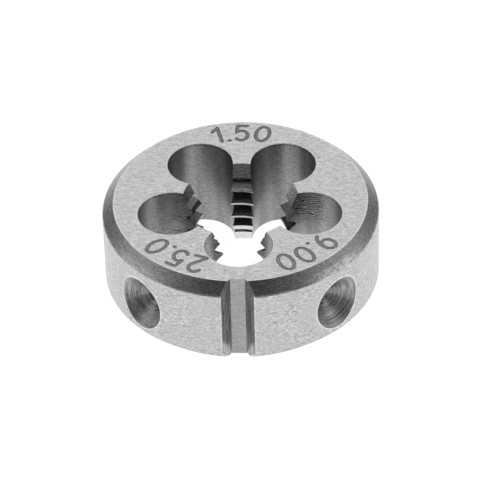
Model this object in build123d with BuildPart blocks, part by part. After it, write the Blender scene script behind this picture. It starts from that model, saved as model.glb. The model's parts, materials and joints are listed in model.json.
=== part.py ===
from build123d import *
import os
from math import radians, tan

# A round threading die, one piece of hardened steel, for an M10 x 1.5 right-hand thread.
# The origin is the centre of the lower face, +Z points up and -Y points to the slot in the rim.
# All sizes are in millimetres and degrees.

# Blank
outer_diameter = 25.0
thickness = 9.0
top_chamfer = 1.0
bottom_chamfer = 1.2

# Metric thread, with the flats at root and crest as shares of the pitch. The groove is as deep
# as it takes to leave those flats.
thread_diameter = 10.0
pitch = 1.5
flank_angle = 30.0
root_flat_share = 3 / 16
crest_flat_share = 1 / 6
# The groove's middle starts this far below the lower face, on the +X side
thread_start = 1.95

# Lead-in cones, by their diameter at the face and their slope from the axis
lead_top_diameter = 10.5
lead_top_slope = 24.0
lead_bottom_diameter = 11.0
lead_bottom_slope = 25.0

# Chip holes round the thread, the first one in line with the slot
chip_hole_count = 5
chip_hole_diameter = 6.0
chip_circle_diameter = 12.9

# Slot down the rim, with a flat floor and a bevel round its lower end
slot_direction = -90.0
slot_depth = 1.3
slot_floor_width = 1.3
slot_flank_angle = 35.0
slot_end_bevel = 0.45

# Conical seats for the holder's screws, one on each side of the slot
seat_diameter = 5.3
seat_slope = 45.0
seat_turn = 45.0
seat_drop = 0.25

# Worked out from the sizes above
outer_radius = outer_diameter / 2
root_radius = thread_diameter / 2
root_flat = root_flat_share * pitch
flank_width = (1 - root_flat_share - crest_flat_share) * pitch / 2
crest_radius = root_radius - flank_width / tan(radians(flank_angle))
lead_top_depth = (lead_top_diameter / 2 - crest_radius) / tan(radians(lead_top_slope))
lead_bottom_depth = (lead_bottom_diameter / 2 - crest_radius) / tan(radians(lead_bottom_slope))
seat_depth = seat_diameter / 2 / tan(radians(seat_slope))
# Cutting forms pass this far beyond the surface that they open
overcut = 0.1
groove_inner_radius = crest_radius - overcut
groove_mouth = root_flat + 2 * (root_radius - groove_inner_radius) * tan(radians(flank_angle))
slot_floor_radius = outer_radius - slot_depth
slot_reach = slot_depth + overcut
slot_mouth = slot_floor_width + 2 * slot_reach * tan(radians(slot_flank_angle))
bevel_floor_radius = slot_floor_radius - slot_end_bevel
bevel_floor = slot_floor_width + 2 * slot_end_bevel * tan(radians(45 - slot_flank_angle / 2))
bevel_reach = slot_reach + slot_end_bevel
bevel_mouth = bevel_floor + 2 * bevel_reach * tan(radians(slot_flank_angle))

# The groove between the teeth: a trapezoid carried along a helix that starts below the
# lower face and ends above the upper one
with BuildPart() as thread_groove:
    with BuildLine() as groove_path:
        Helix(
            pitch=pitch,
            height=thickness + 2 * thread_start,
            radius=root_radius,
            center=(0, 0, -thread_start),
        )
    with BuildSketch(Plane.XZ):
        with BuildLine():
            Polyline(
                (root_radius, -thread_start - root_flat / 2),
                (root_radius, -thread_start + root_flat / 2),
                (groove_inner_radius, -thread_start + groove_mouth / 2),
                (groove_inner_radius, -thread_start - groove_mouth / 2),
                close=True,
            )
        make_face()
    sweep(path=groove_path.wires()[0], is_frenet=True)

with BuildPart() as die_body:
    # Blank, its seam opposite the slot
    with BuildSketch(Plane.XY.rotated((0, 0, slot_direction + 180))):
        Circle(outer_radius)
    extrude(amount=thickness)
    chamfer(die_body.edges().group_by(Axis.Z)[-1], length=top_chamfer)
    chamfer(die_body.edges().group_by(Axis.Z)[0], length=bottom_chamfer)

    # Bore at the thread's crests
    with BuildSketch():
        Circle(crest_radius)
    extrude(amount=thickness, mode=Mode.SUBTRACT)

    # Thread all the way through the bore
    add(thread_groove.part, mode=Mode.SUBTRACT)

    # Chip holes that break into the bore and leave the thread on the lands between them
    with BuildSketch():
        with PolarLocations(chip_circle_diameter / 2, chip_hole_count, start_angle=slot_direction):
            Circle(chip_hole_diameter / 2)
    extrude(amount=thickness, mode=Mode.SUBTRACT)

    # Lead-in cones at both faces
    with Locations((0, 0, thickness)):
        Cone(
            crest_radius,
            lead_top_diameter / 2,
            lead_top_depth,
            align=(Align.CENTER, Align.CENTER, Align.MAX),
            mode=Mode.SUBTRACT,
        )
    Cone(
        lead_bottom_diameter / 2,
        crest_radius,
        lead_bottom_depth,
        align=(Align.CENTER, Align.CENTER, Align.MIN),
        mode=Mode.SUBTRACT,
    )

    # Screw seats, their points towards the axis
    with Locations((0, 0, thickness / 2 - seat_drop)):
        with PolarLocations(
            outer_radius,
            2,
            start_angle=slot_direction - seat_turn,
            angular_range=2 * seat_turn,
            endpoint=True,
        ):
            Cone(
                0,
                seat_diameter / 2,
                seat_depth,
                rotation=(0, 90, 0),
                align=(Align.CENTER, Align.CENTER, Align.MAX),
                mode=Mode.SUBTRACT,
            )

    # Lower end of the slot: from the bevel's outline at the lower face to the slot's own
    slot_plane = Plane.XY.rotated((0, 0, slot_direction))
    with BuildSketch(slot_plane):
        with BuildLine():
            Polyline(
                (bevel_floor_radius, -bevel_floor / 2),
                (outer_radius + overcut, -bevel_mouth / 2),
                (outer_radius + overcut, bevel_mouth / 2),
                (bevel_floor_radius, bevel_floor / 2),
                close=True,
            )
        make_face()
    with BuildSketch(slot_plane.offset(slot_end_bevel)) as slot_outline:
        with BuildLine():
            Polyline(
                (slot_floor_radius, -slot_floor_width / 2),
                (outer_radius + overcut, -slot_mouth / 2),
                (outer_radius + overcut, slot_mouth / 2),
                (slot_floor_radius, slot_floor_width / 2),
                close=True,
            )
        make_face()
    loft(mode=Mode.SUBTRACT)

    # Slot from there up, which leaves the rim in two halves that meet at the seam
    extrude(slot_outline.sketch, amount=thickness, clean=False, mode=Mode.SUBTRACT)

os.makedirs("parts", exist_ok=True)
die_body.part.label = "die_body"
export_step(die_body.part, "parts/die_body.step")
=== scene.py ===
"""Looks of a round threading die: one piece of hardened steel, ground, turned, drilled and threaded.

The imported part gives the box, the mounts and the body. This script works out a finer mesh of the
same piece, gives each cut surface the finish that its tool leaves, and sets the floor, the light
and the camera. Lengths are in metres. The origin is the centre of the lower face, +Z points up the
thread's axis and -Y points to the slot in the rim.
"""

import json
import logging
from dataclasses import dataclass, field
from enum import Enum
from math import atan2, cos, hypot, inf, isfinite, pi, radians, sin, sqrt, tan
from typing import Iterable, Sequence

import bpy
import numpy as np
from mathutils import Matrix, Vector


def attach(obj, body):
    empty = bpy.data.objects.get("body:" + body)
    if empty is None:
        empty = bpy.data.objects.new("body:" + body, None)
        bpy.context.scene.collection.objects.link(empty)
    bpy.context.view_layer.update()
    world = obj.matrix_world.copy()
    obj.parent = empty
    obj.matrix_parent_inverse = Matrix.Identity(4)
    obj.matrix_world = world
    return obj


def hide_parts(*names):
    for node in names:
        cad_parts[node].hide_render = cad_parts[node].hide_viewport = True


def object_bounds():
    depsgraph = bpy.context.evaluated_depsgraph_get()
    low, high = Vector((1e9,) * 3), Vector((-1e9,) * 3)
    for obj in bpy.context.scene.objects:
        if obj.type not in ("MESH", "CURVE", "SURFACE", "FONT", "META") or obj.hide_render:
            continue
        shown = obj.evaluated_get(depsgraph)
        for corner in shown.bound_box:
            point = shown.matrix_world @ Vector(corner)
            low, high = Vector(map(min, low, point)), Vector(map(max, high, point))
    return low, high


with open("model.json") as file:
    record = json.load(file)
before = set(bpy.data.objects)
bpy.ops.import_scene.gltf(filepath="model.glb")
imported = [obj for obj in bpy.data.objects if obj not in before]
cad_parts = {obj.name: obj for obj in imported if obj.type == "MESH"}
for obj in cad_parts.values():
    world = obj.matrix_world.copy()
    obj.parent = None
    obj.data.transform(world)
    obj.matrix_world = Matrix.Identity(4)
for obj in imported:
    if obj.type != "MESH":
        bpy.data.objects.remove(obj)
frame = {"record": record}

log = logging.getLogger("threading_die")

MM = 0.001
CAD_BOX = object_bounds()
NODE = "die_body"
BODY = "root"
# Cutters are worked out in metres and cut at this scale, where their small facets stay exact
CUTTING_SCALE = 1000.0
UV_NAME = "unrolled"
# How far ahead of its middle the rings of an engraving tool's half ball lie, as angles
HALF_BALL = np.radians([80.0, 55.0, 28.0])
# Where most values of a noise lie, and of the softer noise that gathers marks in patches
NOISE_RANGE = (0.33, 0.67)
PATCH_RANGE = (0.38, 0.62)
UP = np.array([0.0, 0.0, 1.0])
# What goes into a node, by the names or numbers of its inputs
Inputs = dict[int | str, "Signal | float | Sequence[float]"]


class Zone(Enum):
    """The kinds of surface on the die, by the tool that leaves them. The value is the slot number."""

    GROUND = 0
    RIM = 1
    CHAMFER = 2
    CHIP_HOLE = 3
    THREAD = 4
    LEAD_IN = 5
    SLOT_FLANK = 6
    SLOT_FLOOR = 7
    SEAT = 8
    MARK = 9
    EDGE = 10
    FLANK = 11


@dataclass
class Surface:
    """A closed surface as plain arrays.

    Attributes:
        points: One row of x, y, z for each point, in metres.
        faces: For each face, the numbers of its points, anticlockwise seen from outside.
        zones: For each face, its zone's slot number.
    """

    points: np.ndarray
    faces: list[list[int]]
    zones: np.ndarray

    def moved(self, matrix: np.ndarray) -> "Surface":
        """Carries the surface by a 4 x 4 matrix that has the translation in its last column."""
        return Surface(self.points @ matrix[:3, :3].T + matrix[:3, 3], self.faces, self.zones)

    @staticmethod
    def joined(parts: Iterable["Surface"]) -> "Surface":
        """Puts several closed surfaces into one, without cutting them.

        Args:
            parts: The surfaces, which don't touch each other.

        Returns:
            One surface that holds them all.
        """
        points: list[np.ndarray] = []
        faces: list[list[int]] = []
        zones: list[np.ndarray] = []
        count = 0
        for part in parts:
            points.append(part.points)
            faces.extend([[number + count for number in face] for face in part.faces])
            zones.append(part.zones)
            count += len(part.points)
        return Surface(np.concatenate(points), faces, np.concatenate(zones))

    def piece(self, name: str) -> bpy.types.Object:
        """Makes a Blender object of the surface, at the cutting scale.

        Args:
            name: The object's name.

        Returns:
            The linked object, with one slot for each zone.
        """
        mesh = bpy.data.meshes.new(name)
        mesh.from_pydata(self.points * CUTTING_SCALE, [], self.faces)
        mesh.polygons.foreach_set("material_index", self.zones.astype(np.int32))
        for zone in Zone:
            known = bpy.data.materials.get(zone.name)
            mesh.materials.append(known or bpy.data.materials.new(zone.name))
        made = bpy.data.objects.new(name, mesh)
        bpy.context.scene.collection.objects.link(made)
        return made


def grid_faces(rows: int, columns: int, rows_close: bool, columns_close: bool) -> np.ndarray:
    """Numbers the four-sided faces of a grid of points.

    Args:
        rows: How many rows of points there are.
        columns: How many points are in a row.
        rows_close: Whether the last row joins the first.
        columns_close: Whether the last point of a row joins its first.

    Returns:
        An array (rows, columns, 4) of point numbers, anticlockwise where a row runs to the right
        and the next row lies above.
    """
    i, j = np.meshgrid(
        np.arange(rows if rows_close else rows - 1),
        np.arange(columns if columns_close else columns - 1),
        indexing="ij",
    )
    i_next = (i + 1) % rows
    j_next = (j + 1) % columns
    corners = (i * columns + j, i * columns + j_next, i_next * columns + j_next, i_next * columns + j)
    return np.stack(corners, axis=2)


def skin(rings: np.ndarray, numbers: Sequence[int], ends: Sequence[Zone],
         inward: bool = False) -> Surface:
    """Joins rings of points to a closed surface.

    Args:
        rings: An array (rings, points in a ring, 3).
        numbers: The zone number of each four-sided face, ring by ring.
        ends: The zones of the flat ends. If there are none, the last ring joins the first.
        inward: Whether the rings run clockwise, seen from where they go, and not the other way.

    Returns:
        The closed surface.
    """
    rows, columns = rings.shape[:2]
    faces = grid_faces(rows, columns, not ends, True).reshape(-1, 4).tolist()
    if ends:
        last = (rows - 1) * columns
        faces += [list(range(columns))[::-1], list(range(last, last + columns))]
    if inward:
        faces = [face[::-1] for face in faces]
    zones = np.array([*numbers, *(zone.value for zone in ends)])
    return Surface(rings.reshape(-1, 3), faces, zones)


def turned(profile: np.ndarray, zones: Sequence[Zone], segments: int, hollow: bool = False) -> Surface:
    """Turns a profile about the Z axis, as a lathe does.

    Point (i, j) lies at the profile's radius r_i and height h_i, at the angle 2 pi j / segments.

    Args:
        profile: One row of radius and height for each point, going up on the outer side.
        zones: The zone of each stretch of the profile.
        segments: How many steps one turn has.
        hollow: Whether the profile closes on itself, as round a ring. If not, flat ends close it.

    Returns:
        The closed surface.
    """
    turn = 2 * pi * np.arange(segments) / segments
    radius, height = profile[:, 0, None], profile[:, 1, None]
    rings = np.stack([radius * np.cos(turn), radius * np.sin(turn), height + 0 * turn], axis=2)
    numbers = np.repeat([zone.value for zone in zones], segments)
    return skin(rings, numbers, () if hollow else (zones[0], zones[-1]))


def stack(outlines: Sequence[np.ndarray], heights: Sequence[float], zones: Sequence[Zone]) -> Surface:
    """Joins flat outlines that lie above each other with straight sides.

    Args:
        outlines: For each height one row of x and y for each corner, anticlockwise.
        heights: The height of each outline, going up.
        zones: The zone of each side, from its corner to the next.

    Returns:
        The closed surface.
    """
    count = len(zones)
    rings = [np.column_stack([level, np.full(count, z)]) for level, z in zip(outlines, heights)]
    numbers = [zone.value for zone in zones] * (len(rings) - 1)
    return skin(np.stack(rings), numbers, (zones[0], zones[0]))


def round_tube(path: np.ndarray, radius: float, height: float, sides: int, closed: bool) -> Surface:
    """Carries a circle along a level path, as the ball of an engraving tool goes.

    Ring k has its centre on the path and its plane across it: point (k, j) is the centre plus
    radius times (cos t_j sideways + sin t_j up). An open path ends in half balls, whose rings
    shrink as cos b while they run ahead as sin b.

    Args:
        path: One row of x and y for each point of the path.
        radius: The ball's radius.
        height: The height of the ball's centre.
        sides: How many points the circle has.
        closed: Whether the path's end joins its start.

    Returns:
        The closed surface.
    """
    if closed:
        ahead = np.roll(path, -1, axis=0) - np.roll(path, 1, axis=0)
    else:
        ahead = np.gradient(path, axis=0)
    ahead = ahead / np.linalg.norm(ahead, axis=1, keepdims=True)
    centres, size = path, np.ones(len(path))
    if not closed:
        start = path[0] - radius * np.sin(HALF_BALL)[:, None] * ahead[0]
        end = path[-1] + radius * np.sin(HALF_BALL[::-1])[:, None] * ahead[-1]
        centres = np.concatenate([start, path, end])
        size = np.concatenate([np.cos(HALF_BALL), size, np.cos(HALF_BALL[::-1])])
        first, last = (ahead[[side]].repeat(len(HALF_BALL), 0) for side in (0, -1))
        ahead = np.concatenate([first, ahead, last])
    turn = 2 * pi * np.arange(sides) / sides
    sideways = np.stack([ahead[:, 1], -ahead[:, 0]], axis=1)
    reach = radius * size[:, None] * np.cos(turn)
    level = centres[:, None, :] + reach[:, :, None] * sideways[:, None, :]
    heights = height + radius * size[:, None] * np.sin(turn)
    rings = np.concatenate([level, heights[:, :, None]], axis=2)
    bands = len(centres) if closed else len(centres) - 1
    ends = () if closed else (Zone.MARK, Zone.MARK)
    return skin(rings, [Zone.MARK.value] * (bands * sides), ends, inward=True)


def rounded(corners: Sequence[tuple[float, float, float, Zone]], zones: Sequence[Zone],
            steps: int = 5) -> tuple[np.ndarray, list[Zone]]:
    """Rounds the corners of a closed profile with arcs that touch both sides.

    Args:
        corners: Radius and height of each corner, with the radius of its rounding or 0, and the
            zone of the rounding.
        zones: The zone of the side from each corner to the next.
        steps: How many chords an arc has.

    Returns:
        The profile's points, and the zone of the stretch from each point to the next.
    """
    points: list[np.ndarray] = []
    kinds: list[Zone] = []
    count = len(corners)
    for number, (r, h, bend, kind) in enumerate(corners):
        here = np.array([r, h])
        if not bend:
            points.append(here)
            kinds.append(zones[number])
            continue
        before = np.array(corners[number - 1][:2]) - here
        after = np.array(corners[(number + 1) % count][:2]) - here
        before /= np.linalg.norm(before)
        after /= np.linalg.norm(after)
        half = np.arccos(before @ after) / 2
        middle = before + after
        centre = here + middle / np.linalg.norm(middle) * bend / sin(half)
        first = here + before * bend / tan(half) - centre
        last = here + after * bend / tan(half) - centre
        for step in range(steps + 1):
            share = step / steps
            spoke = (1 - share) * first + share * last
            points.append(centre + bend * spoke / np.linalg.norm(spoke))
            kinds.append(kind if step < steps else zones[number])
    return np.array(points), kinds


def level_turn(angle: float, origin: Sequence[float] = (0.0, 0.0, 0.0)) -> np.ndarray:
    """Makes the matrix that turns about Z and then moves to a point.

    Args:
        angle: The turn in radians, anticlockwise seen from above.
        origin: Where the turned origin goes.

    Returns:
        The 4 x 4 matrix.
    """
    matrix = np.eye(4)
    matrix[:2, :2] = [[cos(angle), -sin(angle)], [sin(angle), cos(angle)]]
    matrix[:3, 3] = origin
    return matrix


def mount(name: str) -> np.ndarray:
    """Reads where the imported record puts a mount, in metres."""
    mounts = frame["record"]["mounts"]
    return np.array(next(found["pos_m"] for found in mounts if found["name"] == name), float)


@dataclass
class Blank:
    """The ring that everything is cut from, with a chamfer round each face.

    Attributes:
        radius: The rim's radius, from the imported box.
        thickness: From face to face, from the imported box.
        bore: The radius over the thread's crests.
        top_chamfer: How far the upper chamfer reaches along face and rim.
        bottom_chamfer: How far the lower one does.
        edge: The rounding that handling and grinding leave on the chamfers' edges.
        soft: The rounding between the upper chamfer and the rim, which is worn more.
        segments: Steps in one turn.
    """

    radius: float
    thickness: float
    bore: float
    top_chamfer: float = 1.0 * MM
    bottom_chamfer: float = 1.2 * MM
    edge: float = 0.06 * MM
    # soft: The rounding between the upper chamfer and the rim, which wears more.
    soft: float = 0.4 * MM
    segments: int = 360

    def surface(self) -> Surface:
        """Turns the ring's section: lower face, chamfer, rim, chamfer, upper face and bore.

        Returns:
            The closed surface of the ring.
        """
        corners = [
            (self.bore, 0.0, 0.0, Zone.EDGE),
            (self.radius - self.bottom_chamfer, 0.0, self.edge, Zone.EDGE),
            (self.radius, self.bottom_chamfer, self.edge, Zone.CHAMFER),
            (self.radius, self.thickness - self.top_chamfer, self.soft, Zone.CHAMFER),
            (self.radius - self.top_chamfer, self.thickness, self.edge, Zone.EDGE),
            (self.bore, self.thickness, 0.0, Zone.EDGE),
        ]
        sides = [Zone.GROUND, Zone.CHAMFER, Zone.RIM, Zone.CHAMFER, Zone.GROUND, Zone.THREAD]
        profile, kinds = rounded(corners, sides)
        return turned(profile, kinds, self.segments, hollow=True)


@dataclass
class ThreadGroove:
    """The helical groove between the teeth of a right-hand metric thread.

    Attributes:
        root: The radius at the bottom of the groove.
        pitch: How far one turn climbs.
        flank: Half the angle between the groove's sides, in radians.
        root_share: The flat at the bottom of the groove, as a share of the pitch.
        crest_share: The flat on the teeth, as a share of the pitch.
        start: How far below the lower face the groove's middle begins, on the +X side.
        overcut: How far the form passes the crests, so that it opens them cleanly.
        segments: Steps in one turn.
        steep: The least height of a flank's normal. Crest and root have less.
    """

    root: float = 5.0 * MM
    pitch: float = 1.5 * MM
    flank: float = radians(30.0)
    root_share: float = 3 / 16
    crest_share: float = 1 / 6
    start: float = 1.95 * MM
    overcut: float = 0.1 * MM
    segments: int = 120
    steep: float = 0.3

    @property
    def crest(self) -> float:
        """The radius over the teeth's crests."""
        flank_share = 1 - self.root_share - self.crest_share
        return self.root - flank_share * self.pitch / 2 / tan(self.flank)

    def surface(self, thickness: float) -> Surface:
        """Carries the groove's section along its helix.

        Point (i, j) has the section's radius r_i, at the angle t_j and the height
        h_i + pitch * t_j / 2 pi - start.

        Args:
            thickness: The height that the groove runs through, with its start beyond each face.

        Returns:
            The closed surface of the groove.
        """
        turns = (thickness + 2 * self.start) / self.pitch
        angle = np.linspace(0.0, 2 * pi * turns, int(turns * self.segments) + 1)
        inner = self.crest - self.overcut
        flat = self.root_share * self.pitch / 2
        mouth = flat + (self.root - inner) * tan(self.flank)
        section = np.array([[inner, -mouth], [self.root, -flat], [self.root, flat], [inner, mouth]])
        radius, height = section[:, 0, None], section[:, 1, None]
        climb = self.pitch * angle / (2 * pi) - self.start
        points = np.stack([radius * np.cos(angle), radius * np.sin(angle), height + climb], axis=2)
        faces = grid_faces(4, len(angle), True, False).reshape(-1, 4).tolist()
        ends = np.arange(4) * len(angle)
        faces.append(ends.tolist())
        faces.append((ends + len(angle) - 1)[::-1].tolist())
        sides = [Zone.FLANK.value, Zone.THREAD.value, Zone.FLANK.value, Zone.THREAD.value]
        zones = np.append(np.repeat(sides, len(angle) - 1), [Zone.THREAD.value] * 2)
        return Surface(points.reshape(-1, 3), faces, zones)

    def profile(self, points: np.ndarray, middles: np.ndarray) -> np.ndarray:
        """Finds how far above the groove's middle points lie, along the thread's axis.

        It is pitch times the rest of (height + start) / pitch - angle / 2 pi, taken where the
        point's face is, so that a face on a crest isn't torn in two.

        Args:
            points: Points on the thread.
            middles: The middles of their faces.

        Returns:
            The heights, from minus half a pitch to half a pitch for the faces' middles.
        """
        def turns(places: np.ndarray) -> np.ndarray:
            """How many turns of the thread lie below each place."""
            around = np.arctan2(places[:, 1], places[:, 0]) / (2 * pi)
            return (places[:, 2] + self.start) / self.pitch - around

        own = (turns(middles) + 0.5) % 1 - 0.5
        return self.pitch * (own + (turns(points) - turns(middles) + 0.5) % 1 - 0.5)

    def normals(self, corners: np.ndarray, face_normals: np.ndarray) -> np.ndarray:
        """Works out how the thread's own form faces at points on it.

        A flank is the surface height = pitch * angle / 2 pi -+ radius * tan(flank), so its normal
        leans by tan(flank) towards the axis and by the helix's slope along the turn. Crest and
        root face the axis.

        Args:
            corners: Points on the thread.
            face_normals: How each point's face points, which tells upper from lower flank.

        Returns:
            One unit normal for each point.
        """
        radius = np.hypot(corners[:, 0], corners[:, 1])
        inward = np.stack([-corners[:, 0], -corners[:, 1], 0 * radius], axis=1) / radius[:, None]
        along = np.stack([inward[:, 1], -inward[:, 0], 0 * radius], axis=1)
        slope = self.pitch / (2 * pi) / radius
        flank = UP - slope[:, None] * along
        rising = inward * tan(self.flank) + flank
        falling = inward * tan(self.flank) - flank
        level = face_normals[:, 2, None]
        chosen = np.where(level > self.steep, rising, np.where(level < -self.steep, falling, inward))
        return chosen / np.linalg.norm(chosen, axis=1, keepdims=True)


@dataclass
class ChipHoles:
    """The drilled holes that break into the bore and clear the chips.

    Attributes:
        first: The direction of the first hole, in line with the slot.
        count: How many there are.
        radius: The radius of one hole.
        circle: The radius of the circle that their axes lie on.
        edge: How far their mouths are broken.
        overcut: How far the forms pass the faces.
        segments: Steps in one turn.
    """

    first: float
    count: int = 5
    radius: float = 3.0 * MM
    circle: float = 6.45 * MM
    edge: float = 0.06 * MM
    overcut: float = 0.5 * MM
    segments: int = 120

    @property
    def directions(self) -> np.ndarray:
        """The holes' directions from the thread's axis, in radians."""
        return self.first + 2 * pi * np.arange(self.count) / self.count

    @property
    def axes(self) -> np.ndarray:
        """A point on each hole's axis, at the lower face."""
        turn = self.directions
        return self.circle * np.stack([np.cos(turn), np.sin(turn), 0 * turn], axis=1)

    def surface(self, thickness: float) -> Surface:
        """Makes the drills: straight walls that flare at 45 degrees where they meet a face.

        Args:
            thickness: The height of the upper face.

        Returns:
            The closed surfaces of all the holes.
        """
        wide = self.radius + self.edge + self.overcut
        profile = np.array(
            [
                [wide, -self.overcut],
                [self.radius, self.edge],
                [self.radius, thickness - self.edge],
                [wide, thickness + self.overcut],
            ]
        )
        drill = turned(profile, [Zone.EDGE, Zone.CHIP_HOLE, Zone.EDGE], self.segments)
        return Surface.joined(drill.moved(level_turn(0.0, axis)) for axis in self.axes)


@dataclass
class LeadIn:
    """A cone at one end of the thread that takes off the tips of the first teeth.

    Attributes:
        mouth: Its radius at the face.
        slope: The angle of its side from the axis, in radians.
        top: Whether it opens upwards.
        overcut: How far the form passes the face and the crests.
        segments: Steps in one turn.
    """

    mouth: float
    slope: float
    top: bool
    overcut: float = 0.3 * MM
    segments: int = 240

    def surface(self, thickness: float, crest: float) -> Surface:
        """Turns the cone, from beyond the face to inside the crests.

        Args:
            thickness: The height of the upper face.
            crest: The radius over the crests.

        Returns:
            The closed surface of the cone.
        """
        outer = self.mouth + self.overcut * tan(self.slope)
        inner = crest - self.overcut
        depth = (self.mouth - inner) / tan(self.slope)
        if self.top:
            profile = np.array([[inner, thickness - depth], [outer, thickness + self.overcut]])
        else:
            profile = np.array([[outer, -self.overcut], [inner, depth]])
        return turned(profile, [Zone.LEAD_IN], self.segments)


@dataclass
class HolderSlot:
    """The slot down the rim that the holder's middle screw points into.

    Attributes:
        direction: Where it lies, in radians.
        floor: The distance of its floor from the thread's axis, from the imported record.
        floor_width: The width of its floor.
        flank: The angle of each side from the slot's middle, in radians.
        bevel: How far floor and sides fall back round the lower end, at 45 degrees.
        edge: How far its edges at the rim are broken.
        overcut: How far the form passes the edges at the rim, and the faces.
        reach: How far beyond the floor the form ends.
    """

    direction: float
    floor: float
    floor_width: float = 1.3 * MM
    flank: float = radians(35.0)
    bevel: float = 0.45 * MM
    edge: float = 0.09 * MM
    overcut: float = 0.4 * MM
    reach: float = 2.0 * MM

    def outline(self, radius: float, back: float) -> np.ndarray:
        """Draws the slot seen from above, with the rim's edges broken.

        Floor and sides are set back by the same distance b, so the floor's half width grows by
        b tan(45 degrees - flank / 2). A side is w = w_0 + d s with s = tan(flank), and the rim is
        d^2 + w^2 = radius^2. They meet where (1 + s^2) d^2 + 2 s w_0 d + w_0^2 - radius^2 = 0, and
        there the edge flares half way between the two.

        Args:
            radius: The rim's radius.
            back: How far floor and sides are set back.

        Returns:
            One row for each corner, anticlockwise: its distance d from the axis and its distance w
            from the slot's middle.
        """
        floor = self.floor - back
        half = self.floor_width / 2 + back * tan(pi / 4 - self.flank / 2)
        slope = tan(self.flank)
        start = half - floor * slope
        square = 1 + slope * slope
        root = sqrt(slope * slope * start * start - square * (start * start - radius * radius))
        meet = (-slope * start + root) / square
        corner = np.array([meet, start + meet * slope])
        side = np.array([cos(self.flank), sin(self.flank)])
        rim = np.array([-corner[1], corner[0]]) / radius
        inside = corner - self.edge * side
        flare = (side + rim) / np.linalg.norm(side + rim)
        outside = inside + flare * self.overcut
        right = [(floor, half), tuple(inside), tuple(outside), (self.floor + self.reach, outside[1])]
        return np.array([(d, -w) for d, w in right] + right[::-1])

    def surface(self, blank: Blank) -> Surface:
        """Stacks the slot's outlines: set back at the lower face, its own from the bevel up.

        The broken edges follow the rim and both chamfers.

        Args:
            blank: The blank that the slot is cut into.

        Returns:
            The closed surface of the slot.
        """
        face, low, high = blank.radius - blank.bottom_chamfer, blank.bottom_chamfer, blank.top_chamfer
        levels = [
            (-self.overcut, face, self.bevel),
            (0.0, face, self.bevel),
            (self.bevel, face + self.bevel, 0.0),
            (low, blank.radius, 0.0),
            (blank.thickness - high, blank.radius, 0.0),
            (blank.thickness, blank.radius - high, 0.0),
            (blank.thickness + self.overcut, blank.radius - high, 0.0),
        ]
        outlines = [self.outline(radius, back) for _, radius, back in levels]
        half = [Zone.SLOT_FLANK, Zone.EDGE, Zone.RIM]
        sides = [*half, Zone.RIM, *half[::-1], Zone.SLOT_FLOOR]
        form = stack(outlines, [height for height, _, _ in levels], sides)
        return form.moved(level_turn(self.direction))


@dataclass
class ScrewSeats:
    """The conical hollows for the holder's side screws.

    Attributes:
        places: Where their middles lie on the rim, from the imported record.
        radius: The radius of a cone at the rim.
        slope: The angle of its side from its own axis, in radians.
        overcut: How far the form passes the rim.
        tip: The radius of the form's blunt tip.
        segments: Steps in one turn.
    """

    places: np.ndarray
    radius: float = 2.65 * MM
    slope: float = radians(45.0)
    overcut: float = 0.6 * MM
    tip: float = 0.03 * MM
    segments: int = 144

    def directions(self) -> np.ndarray:
        """Unit vectors out of the seats, along their axes."""
        level = self.places * [1, 1, 0]
        return level / np.linalg.norm(level, axis=1, keepdims=True)

    def tips(self) -> np.ndarray:
        """The points that the cones narrow to."""
        return self.places - self.directions() * self.radius / tan(self.slope)

    def surface(self) -> Surface:
        """Turns the cone about Z and stands a copy along each seat's axis.

        Returns:
            The closed surfaces of both seats.
        """
        steep = 1 / tan(self.slope)
        wide = self.radius + self.overcut
        profile = np.array([[self.tip, self.tip * steep], [wide, wide * steep]])
        cone = turned(profile, [Zone.SEAT], self.segments)
        made = []
        for tip, out in zip(self.tips(), self.directions()):
            matrix = np.eye(4)
            matrix[:3, 0] = [-out[1], out[0], 0]
            matrix[:3, 1] = [0, 0, 1]
            matrix[:3, 2] = out
            matrix[:3, 3] = tip
            made.append(cone.moved(matrix))
        return Surface.joined(made)


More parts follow.
